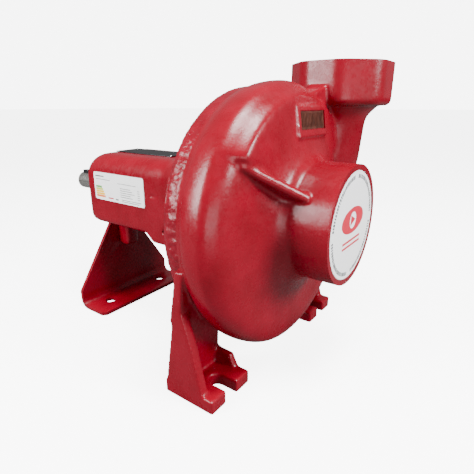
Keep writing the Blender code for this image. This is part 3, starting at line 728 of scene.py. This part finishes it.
def bearing_frame():
    flange = turned([(90, JOINT_Y - 2), (FLANGE_R, JOINT_Y - 2), (FLANGE_R, 119),
                     (FLANGE_R - 2.5, 124), (FLANGE_R - 7, 127.5), (90, 129)], 144)
    stations = [118, 122, 127, 133, 140, 148, 156, 164, 172, 180, 187, 193, 198]
    sections = [frame_section(y) for y in stations]
    sections += [rear_section(*shape) for shape in (
        (312, 0, 0, 0), (320, 0, 0.8, 0), (327, 0, 2.6, 0.2), (333, 0.3, 5.2, 0.8),
        (338, 1.4, 8.2, 2.2), (341.5, 3.3, 10.6, 4.2), (344, 6, 12.5, 6.5))]
    arm = [(150, -34), (232, -34), (232, -40.5), (223, -48.7), (150, -48.7)]
    arms = [side_plate(arm, *across(side, 32, 49.8)) for side in (-1, 1)]
    lug = side_plate([(318, -36), (318, -80), (322, -84), (336.5, -84), (340.5, -80), (340.5, -36)],
                     -10, 10)
    rounded(lug, 4.0, where=lambda e: abs(e.verts[0].co.z - e.verts[1].co.z) > 20)
    outside = together(flange, lofted(sections), lug, *arms)
    window = [(134, 5), (184, 5), (193, -17), (206, -33.5), (134, -33.5)]
    hollows = [side_plate(window, *across(side, 30, 110)) for side in (-1, 1)]
    hollows.append(block(-30, 30, 145, 228, -100, -20))
    hollows.append(lantern_space())
    grooves = [side_plate([(194, 8.6), (221, 7.4), (221, 10.2), (194, 11.4)],
                          *across(side, 46.5, 60)) for side in (-1, 1)]
    blank = cast(outside, 3.0, 0)
    opened = combined(blank, "DIFFERENCE", *hollows, *grooves)
    casting = ruffled(cast(opened, CAST_VOXEL, 7))
    bores = turned([(0, 180), (22, 180), (22, 232), (18, 232), (18, 235.7), (BEARING_SEAT_R, 235.7),
                    (BEARING_SEAT_R, 256), (34, 258), (34, 299), (BEARING_SEAT_R, 301),
                    (BEARING_SEAT_R, 360), (0, 360)], on_axis=True)
    cuts = [turned([(0, 90), (130, 90), (130, JOINT_Y + GAP), (0, JOINT_Y + GAP)], on_axis=True),
            bores,
            front_plate([(-90, -110), (90, -110), (90, 90), (-90, 90)], BOX_REAR, 360),
            front_plate([(-20, -90), (20, -90), (20, -35), (-20, -35)], FOOT_PLATE_Y - GAP, 350)]
    for x, z in polygon(FLANGE_BOLT_CIRCLE, FLANGE_BOLTS, 22.5):
        cuts.append(round_bar(4.3, 100, 140, x, z))
        cuts.append(round_bar(9.2, FRAME_FLANGE_Y, 140, x, z))
    cuts += [round_bar(2.8, 328, 350, x, z) for x, z in polygon(COVER_SCREW_CIRCLE, COVER_SCREWS, 45)]
    cuts += [round_bar(4.3, 322, 345, 0, z) for z in FOOT_BOLT_LEVELS]
    casting = combined(casting, "DIFFERENCE", *cuts)

    def finish_of(face):
        centre = face.calc_center_median()
        radius = math.hypot(centre.x, centre.z)
        if radius < BEARING_SEAT_R + 0.2 and centre.y > 232 or centre.y < JOINT_Y + GAP + 0.1:
            return 1
        return 2 if radius > 117 and centre.y < 129 else 0

    finish_piece("frame_casting", casting, (SMOOTH_RED, BARE_IRON, ROUGH_RED), "casing",
                 ("bearing_frame",), pick=finish_of)


def casing_cover():
    cover = turned([(30, 88), (99.5, 88), (99.5, 99), (104, 99), (104, JOINT_Y), (92, JOINT_Y),
                    (88, 99), (42, 99), (38, 112), (34, 122), (17, 122), (17, 113.3),
                    (24.3, 113.3), (24.3, 104.7), (30, 104.7)])
    rounded(cover, 0.8, segments=2)
    finish_piece("cover_disc", cover, (PRIMED,), "casing", ("casing_cover",))


def rear_bearing_cover():
    cover = turned([(25.5, 322.4), (30.7, 322.4), (30.7, BOX_REAR + GAP), (41, BOX_REAR + GAP),
                    (41, COVER_FACE_Y), (22, COVER_FACE_Y), (22, 337.7), (16.5, 337.7),
                    (16.5, 333), (25.5, 333)])
    rounded(cover, 1.0, segments=3, where=lambda e: max(
        v.co.y for v in e.verts) > COVER_FACE_Y - 0.1 and e.verts[0].co.length > 30)
    holes = [round_bar(2.8, 340, 352, x, z) for x, z in polygon(COVER_SCREW_CIRCLE, COVER_SCREWS, 45)]
    cover = combined(cover, "DIFFERENCE", *holes)
    finish_piece("rear_cover_disc", cover, (SMOOTH_RED,), "casing",
                 ("rear_bearing_cover",))


# ---------------------------------------------------------------- rear foot


def rear_foot():
    """A thick plate bent to an upright and a toe, with slanting sides and clipped toe corners."""
    rear = FOOT_PLATE_Y + PLATE
    outer, inner = 13.0, 8.3
    profile = [(FOOT_TOE_Y, FLOOR), *arc(rear - outer, FLOOR + outer, outer, -90, 0, 6),
               (rear, -45), (FOOT_PLATE_Y, -45),
               *arc(FOOT_PLATE_Y - inner, FLOOR + PLATE + inner, inner, 0, -90, 6),
               (FOOT_TOE_Y, FLOOR + PLATE)]
    plate = side_plate(profile, -FOOT_HALF_WIDTH, FOOT_HALF_WIDTH)
    cuts = []
    for side in (-1, 1):
        flank = [(side * 90, FLOOR + 24), (side * FOOT_HALF_WIDTH, FLOOR + 24), (side * 20.5, -51),
                 (side * 12, -44.9), (side * 12, -30), (side * 90, -30)]
        corner = [(side * 90, FOOT_TOE_Y + 5), (side * FOOT_HALF_WIDTH, FOOT_TOE_Y + 5),
                  (side * (FOOT_HALF_WIDTH - 5), FOOT_TOE_Y),
                  (side * (FOOT_HALF_WIDTH - 5), FOOT_TOE_Y - 10), (side * 90, FOOT_TOE_Y - 10)]
        hole = [(side * FOOT_HOLE_X + x, FOOT_HOLE_Y + y) for x, y in polygon(FOOT_HOLE_R, 48)]
        cuts += [front_plate(flank, FOOT_PLATE_Y - 8, rear + 5),
                 floor_plate(corner, FLOOR - 2, FLOOR + 9), floor_plate(hole, FLOOR - 2, FLOOR + 9)]
    cuts += [round_bar(4.3, 330, 350, 0, z) for z in FOOT_BOLT_LEVELS]
    plate = combined(plate, "DIFFERENCE", *cuts)
    bmesh.ops.dissolve_limit(plate, angle_limit=math.radians(1), verts=plate.verts,
                             edges=plate.edges)
    rounded(plate, 0.9, angle=35.0, segments=3)
    finish_piece("rear_foot_plate", plate, (SMOOTH_RED,), "casing", ("rear_foot",))


# ---------------------------------------------------------------- fasteners


def hex_bolt(node_name, x, z, seat_y, shank, across_flats, head, length, material):
    """A bolt along Y: a hexagon head with a turned chamfer and a washer face, and its shank."""
    corner = across_flats / math.sqrt(3)
    top = seat_y + GAP + head
    crown = turned([(0, seat_y + GAP), (across_flats / 2 - 0.3, seat_y + GAP),
                    (across_flats / 2, seat_y + GAP + 0.5), (corner + 0.1, seat_y + GAP + 0.5),
                    (corner + 0.1, top - 0.9), (across_flats / 2 - 0.5, top), (0, top)], 48, True)
    hexagon = front_plate(polygon(corner, 6), seat_y, top + 1)
    bolt = combined(hexagon, "INTERSECT", crown)
    stem = turned([(0, seat_y - length), (shank - 0.6, seat_y - length),
                   (shank, seat_y - length + 0.6), (shank, seat_y + GAP + 1),
                   (0, seat_y + GAP + 1)], 32, True)
    bolt = combined(bolt, "UNION", stem)
    bmesh.ops.translate(bolt, vec=(x, 0, z), verts=bolt.verts)
    finish_piece(node_name + "_turned", bolt, (material,), "casing", (node_name,), sharp=20)


def fasteners():
    for number, (x, z) in enumerate(polygon(FLANGE_BOLT_CIRCLE, FLANGE_BOLTS, 22.5), 1):
        hex_bolt(f"flange_bolt_{number}", x, z, FRAME_FLANGE_Y, 4, 13, 5.3, 29, SMOOTH_RED)
    for number, (x, z) in enumerate(polygon(COVER_SCREW_CIRCLE, COVER_SCREWS, 45), 1):
        hex_bolt(f"cover_screw_{number}", x, z, COVER_FACE_Y, 2.5, 8, 3.5, 18, DARK_STEEL)
    for number, z in enumerate(FOOT_BOLT_LEVELS, 1):
        hex_bolt(f"foot_bolt_{number}", 0, z, FOOT_PLATE_Y + PLATE, 4, 13, 5.3, 21, SMOOTH_RED)


def drain_plug():
    plug = combined(drain_bar(7, 128, 138.5), "DIFFERENCE", drain_bar(3.6, 133, 142, 6))
    rounded(plug, 0.5, segments=2)
    finish_piece("drain_plug_turned", plug, (DARK_STEEL,), "casing",
                 ("drain_plug",), sharp=25)


# ---------------------------------------------------------------- shaft and its drive end


def shaft():
    bar = turned([
        (0, 60), (7.4, 60), (8, 60.6), (8, 68.3), (10.4, 68.3), (11, 68.9), (11, 87), (14, 87),
        (14, 232), (14.6, 232), (15, 232.4), (15, 252.3), (17.1, 252.3), (17.5, 252.7),
        (17.5, 305.3), (17.1, 305.7), (15, 305.7), (15, 322.2), (14, 322.2), (14, 324.1),
        (15, 324.1), (15, 327), (13.5, 328), (13.5, 352), (12, 353), (12, DRIVE_END - 1.5),
        (10.5, DRIVE_END), (3.2, DRIVE_END), (1.6, DRIVE_END - 2.6), (1.6, DRIVE_END - 6),
        (0, DRIVE_END - 7)], on_axis=True)
    ends = [floor_plate(arc(0, 416, 4.3, 0, 180) + arc(0, 384, 4.3, 180, 360), 8, 20),
            block(-3.3, 3.3, 69.5, 85.5, 8.2, 20)]
    bar = combined(bar, "DIFFERENCE", *ends)
    finish_piece("shaft_bar", bar, (TURNED_STEEL,), "rotor", ("shaft",), sharp=25)


def keys():
    drive = floor_plate(arc(0, 416, 4, 0, 180) + arc(0, 384, 4, 180, 360), 8.3, 15.3)
    rounded(drive, 0.4, angle=60, segments=2)
    finish_piece("drive_key_bar", drive, (DARK_STEEL,), "rotor", ("drive_key",), 20)
    impeller_key = rounded(block(-3, 3, 70, 85, 8.5, 13.5), 0.3, segments=2)
    finish_piece("impeller_key_bar", impeller_key, (GROUND_STEEL,), "rotor",
                 ("impeller_key",), 20)


# ---------------------------------------------------------------- cap, label and plates


def transport_cap():
    disc = turned([(0, GAP), (51.4, GAP), (52, 0.7), (52, 1.3), (43, 1.3), (43, 8.6), (42.6, 9),
                   (41.4, 9), (41, 8.6), (41, 1.9), (0, 1.9)], on_axis=True)
    finish_piece("cap_disc", disc, (WHITE,), "cap", ("transport_cap",), sharp=25)
    marks = []
    for k in range(104):
        length = 1.3 + 1.0 * ((k * 7) % 5) / 4
        if k % 26 in (0, 1, 25):
            continue
        dash = block(-length / 2, length / 2, GAP - 0.06, GAP + 0.1, 44.9, 48.4)
        marks.append(turned_about_axis(dash, 360.0 * k / 104))
    finish_piece("cap_print_ring", together(*marks), (BLACK_INK,), "cap")
    oval = [(27 * x, 6 + 12.5 * z) for x, z in polygon(1.0, 64)]
    stripes = [block(-22, 22, GAP - 0.06, GAP + 0.1, z, z + 2.2) for z in (-14.5, -19.5)]
    badge = combined(front_plate(oval, GAP - 0.06, GAP + 0.1), "DIFFERENCE",
                     front_plate([(8 * x, 6 + 8 * z) for x, z in polygon(1.0, 48)], 0, 1))
    arrow = front_plate([(-5.2, 0.8), (6.2, 6), (-5.2, 11.2)], GAP - 0.06, GAP + 0.1)
    finish_piece("cap_print_red", together(badge, arrow, *stripes), (RED_INK,), "cap")


def sheet_outline(low_a, high_a, low_b, high_b, corner):
    mid_a, mid_b = (low_a + high_a) / 2, (low_b + high_b) / 2
    half_a, half_b = (high_a - low_a) / 2, (high_b - low_b) / 2
    return [(mid_a + a, mid_b + b) for a, b in rounded_box(half_a, half_b, -half_b, corner, 4)]


LABEL_FRONT, LABEL_REAR, LABEL_LOW, LABEL_TOP = 230.0, 323.0, -7.0, 28.0
LABEL_X = -BOX_HALF_WIDTH - GAP


def label_bar(along, length, up, height):
    """A printed bar: shares of the label's length from its rear end, and of its height."""
    span, rise = LABEL_REAR - LABEL_FRONT, LABEL_TOP - LABEL_LOW
    y = LABEL_REAR - span * along
    z = LABEL_LOW + rise * up
    return block(LABEL_X - 0.56, LABEL_X - 0.3, y - span * length, y, z, z + rise * height)


def side_label():
    outline = sheet_outline(LABEL_FRONT, LABEL_REAR, LABEL_LOW, LABEL_TOP, 2.5)
    film = side_plate(outline, LABEL_X - 0.5, LABEL_X)
    finish_piece("label_film", film, (PAPER,), "casing", ("side_label",))
    scale = [("green", GREEN_INK, 0.13), ("lime", LIME_INK, 0.15), ("yellow", AMBER_INK, 0.165),
             ("amber", AMBER_INK, 0.18), ("orange", ORANGE_INK, 0.195)]
    for step, (colour, ink, length) in enumerate(scale):
        bar = label_bar(0.03, length, 0.44 - 0.085 * step, 0.07)
        finish_piece("label_print_" + colour, bar, (ink,), "casing")
    lines = [label_bar(0.04, 0.18, 0.84, 0.04), label_bar(0.04, 0.30, 0.74, 0.02),
             label_bar(0.50, 0.36, 0.68, 0.015), label_bar(0.44, 0.05, 0.08, 0.05)]
    for row in range(5):
        lines.append(label_bar(0.54, 0.20 + 0.04 * (row % 3), 0.52 - 0.075 * row, 0.02))
        lines.append(label_bar(0.88, 0.04, 0.52 - 0.075 * row, 0.02))
    lines += [label_bar(0.56, 0.38, 0.12, 0.02), label_bar(0.56, 0.34, 0.06, 0.02)]
    finish_piece("label_print_grey", together(*lines), (BLACK_INK,), "casing")
    finish_piece("label_print_red", label_bar(0.28, 0.11, 0.09, 0.045), (RED_INK,), "casing")


def nameplate():
    half = NAMEPLATE_HALF_WIDTH
    outline = sheet_outline(-half, half, NAMEPLATE_FRONT, NAMEPLATE_REAR, 2.0)
    plate = floor_plate(outline, BOX_TOP + GAP, BOX_TOP + GAP + 0.8)
    rivets = []
    reach = half - RIVET_INSET
    front, rear = NAMEPLATE_FRONT + RIVET_INSET, NAMEPLATE_REAR - RIVET_INSET
    for x, y in ((-reach, front), (reach, front), (-reach, rear), (reach, rear)):
        rivet = bmesh.new()
        bmesh.ops.create_uvsphere(rivet, u_segments=16, v_segments=8, radius=1.6, matrix=(
            Matrix.Translation((x, y, BOX_TOP + GAP + 0.6)) @ Matrix.Diagonal((1, 1, 0.6, 1))))
        rivets.append(rivet)
    finish_piece("nameplate_sheet", plate, (DARK_STEEL,), "casing", ("nameplate",))
    finish_piece("nameplate_rivets", together(*rivets), (GROUND_STEEL,), "casing")


def badge_plate():
    """A small tinted plate of plain upright bars in the casing's raised frame."""
    base = side_plate([(51.1, 86.1), (53.5, 102.4), (52.2, 102.4), (49.9, 86.1)], -16.8, 32.8)
    bars = []
    x = -13.5
    for k in range(15):
        width = 1.0 + 0.45 * ((k * 5) % 4)
        bars.append(side_plate([(50.8, 88.2), (52.5, 100.4), (51.6, 100.5), (49.85, 88.3)],
                               x, x + width))
        x += 3.0
    finish_piece("badge_plate", together(base, *bars), (BADGE_METAL,), "casing")


# ---------------------------------------------------------------- camera, light and floor


def camera():
    data = bpy.data.cameras.new("camera")
    data.lens = 29.88
    data.sensor_width = 36.0
    data.clip_start = 0.01
    made = bpy.data.objects.new("camera", data)
    bpy.context.scene.collection.objects.link(made)
    azimuth, elevation = math.radians(54.06), math.radians(18.49)
    forward = Vector((math.sin(azimuth) * math.cos(elevation),
                      math.cos(azimuth) * math.cos(elevation), -math.sin(elevation)))
    made.location = (-0.34921, -0.44133, 0.2672)
    made.rotation_mode = "QUATERNION"
    made.rotation_quaternion = forward.to_track_quat("-Z", "Y")
    bpy.context.scene.camera = made


def softbox(name, place, target, width, height, power):
    data = bpy.data.lights.new(name, "AREA")
    data.shape = "RECTANGLE"
    data.size = width
    data.size_y = height
    data.energy = power
    made = bpy.data.objects.new(name, data)
    bpy.context.scene.collection.objects.link(made)
    made.location = place
    made.rotation_mode = "QUATERNION"
    made.rotation_quaternion = (Vector(target) - Vector(place)).to_track_quat("-Z", "Y")


def studio():
    """A surround that looks pale but sheds little light, and four soft lamps."""
    world = bpy.data.worlds.new("studio")
    world.use_nodes = True
    tree = world.node_tree
    background = tree.nodes["Background"]
    background.inputs["Color"].default_value = (1.0, 1.0, 1.0, 1.0)
    seen = node(tree, "ShaderNodeLightPath").outputs["Is Camera Ray"]
    tree.links.new(spread(tree, seen, SURROUND_GLOW, BACKDROP_GLOW, 0.0, 1.0), background.inputs["Strength"])
    bpy.context.scene.world = world
    target = (0.0, -0.2, 0.15)
    softbox("window_light", (-0.85, 0.28, 0.58), target, 0.4, 0.6, 24.0)
    softbox("top_light", (-0.12, -0.5, 1.25), target, 0.4, 0.4, 30.0)
    softbox("front_light", (0.2, -1.35, 0.65), target, 0.35, 0.35, 26.0)
    softbox("fill_light", (-0.6, -1.0, 0.12), target, 0.7, 0.4, 5.0)


def carried_over_nodes():
    """Gives each frame part that still shows the full finish of its slot."""
    for part in frame["record"]["subparts"]:
        shown = frame["nodes"][part["node"]]
        if not shown.hide_render:
            shown.data.materials.clear()
            shown.data.materials.append(CARRIED_OVER[part["material_slot"]])


def floor():
    bm = bmesh.new()
    bmesh.ops.create_grid(bm, x_segments=1, y_segments=1, size=30.0)
    mesh = bpy.data.meshes.new("floor")
    bm.to_mesh(mesh)
    bm.free()
    made, tree, shader = new_material("pale_floor")
    shader.inputs["Roughness"].default_value = 0.95
    shader.inputs["Emission Color"].default_value = (1.0, 1.0, 1.0, 1.0)
    seen = node(tree, "ShaderNodeLightPath").outputs["Is Camera Ray"]
    tree.links.new(ramp(tree, seen, [(0.0, (0.1, 0.1, 0.1)), (1.0, (0.9, 0.9, 0.9))]),
                   shader.inputs["Base Color"])
    tree.links.new(spread(tree, seen, 0.0, FLOOR_GLOW, 0.0, 1.0), shader.inputs["Emission Strength"])
    mesh.materials.append(made)
    plane = bpy.data.objects.new("floor", mesh)
    bpy.context.scene.collection.objects.link(plane)
    plane.location.z = cad_low.z - FLOOR_CLEARANCE


camera()
studio()
floor()
volute_casing()
drain_plug()
casing_cover()
bearing_frame()
rear_bearing_cover()
rear_foot()
fasteners()
shaft()
keys()
transport_cap()
side_label()
nameplate()
badge_plate()
carried_over_nodes()
